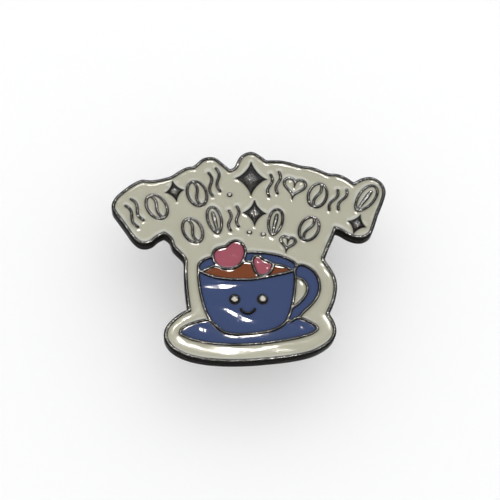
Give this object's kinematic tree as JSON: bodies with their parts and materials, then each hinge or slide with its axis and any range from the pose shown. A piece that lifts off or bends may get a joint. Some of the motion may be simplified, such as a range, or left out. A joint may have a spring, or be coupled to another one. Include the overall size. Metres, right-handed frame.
{
  "type": "enamel pin",
  "caption": "Soft-enamel pin of a smiling coffee cup on a saucer below raised bean, steam and sparkle ornaments, with two posts and butterfly clutches.",
  "frame": {"origin": "centre of the plate's outline, on the surface that the clutch wings stand on", "axes": "+Z out of the enamelled face, +Y to the top of the picture, +X to its right"},
  "size_m": [0.032, 0.0266, 0.0104],
  "materials": {
    "dark_nickel": "struck zinc alloy with polished black-nickel plating, sandblasted on the back",
    "cream_enamel": "baked soft enamel, glossy, dished between the metal lines",
    "blue_enamel": "baked soft enamel, glossy",
    "brown_enamel": "baked soft enamel, glossy",
    "pink_enamel": "baked soft enamel, glossy",
    "post_steel": "drawn steel wire with bright plating",
    "solder": "tin solder, matt",
    "clutch_nickel": "pressed brass sheet with bright nickel plating",
    "spring_steel": "blue-grey spring steel"
  },
  "bodies": {
    "pin": {"base_plate": "dark_nickel", "background_enamel": "cream_enamel", "ornament_window_enamel": "cream_enamel", "cup_enamel": "blue_enamel", "saucer_enamel": "blue_enamel", "handle_enamel": "blue_enamel", "handle_window_enamel": "cream_enamel", "inner_wall_left_enamel": "blue_enamel", "inner_wall_middle_enamel": "blue_enamel", "inner_wall_right_enamel": "blue_enamel", "coffee_left_enamel": "brown_enamel", "coffee_right_enamel": "brown_enamel", "large_heart_enamel": "pink_enamel", "small_heart_enamel": "pink_enamel", "upper_post": "post_steel", "upper_solder": "solder", "lower_post": "post_steel", "lower_solder": "solder"},
    "upper_clutch": {"upper_clutch_plate": "clutch_nickel", "upper_clutch_cap": "clutch_nickel", "upper_clutch_spring": "spring_steel"},
    "upper_left_wing_body": {"upper_left_wing": "clutch_nickel"},
    "upper_right_wing_body": {"upper_right_wing": "clutch_nickel"},
    "lower_clutch": {"lower_clutch_plate": "clutch_nickel", "lower_clutch_cap": "clutch_nickel", "lower_clutch_spring": "spring_steel"},
    "lower_left_wing_body": {"lower_left_wing": "clutch_nickel"},
    "lower_right_wing_body": {"lower_right_wing": "clutch_nickel"}
  },
  "joints": [
    {"name": "upper_clutch_pull", "type": "slide", "parent": "pin", "child": "upper_clutch", "axis": [0, 0, -1], "range_m": [0, 0.012]},
    {"name": "upper_left_wing_squeeze", "type": "slide", "parent": "upper_clutch", "child": "upper_left_wing_body", "axis": [1, 0, 0], "range_m": [0, 0.00055], "stiffness_N_per_m": 200, "deforming": ["upper_clutch_spring"]},
    {"name": "upper_right_wing_squeeze", "type": "slide", "parent": "upper_clutch", "child": "upper_right_wing_body", "axis": [-1, 0, 0], "range_m": [0, 0.00055], "stiffness_N_per_m": 200},
    {"name": "lower_clutch_pull", "type": "slide", "parent": "pin", "child": "lower_clutch", "axis": [0, 0, -1], "range_m": [0, 0.012]},
    {"name": "lower_left_wing_squeeze", "type": "slide", "parent": "lower_clutch", "child": "lower_left_wing_body", "axis": [1, 0, 0], "range_m": [0, 0.00055], "stiffness_N_per_m": 200, "deforming": ["lower_clutch_spring"]},
    {"name": "lower_right_wing_squeeze", "type": "slide", "parent": "lower_clutch", "child": "lower_right_wing_body", "axis": [-1, 0, 0], "range_m": [0, 0.00055], "stiffness_N_per_m": 200}
  ],
  "couplings": [
    {"joint": "upper_right_wing_squeeze", "follows": "upper_left_wing_squeeze", "ratio": 1},
    {"joint": "lower_right_wing_squeeze", "follows": "lower_left_wing_squeeze", "ratio": 1}
  ]
}
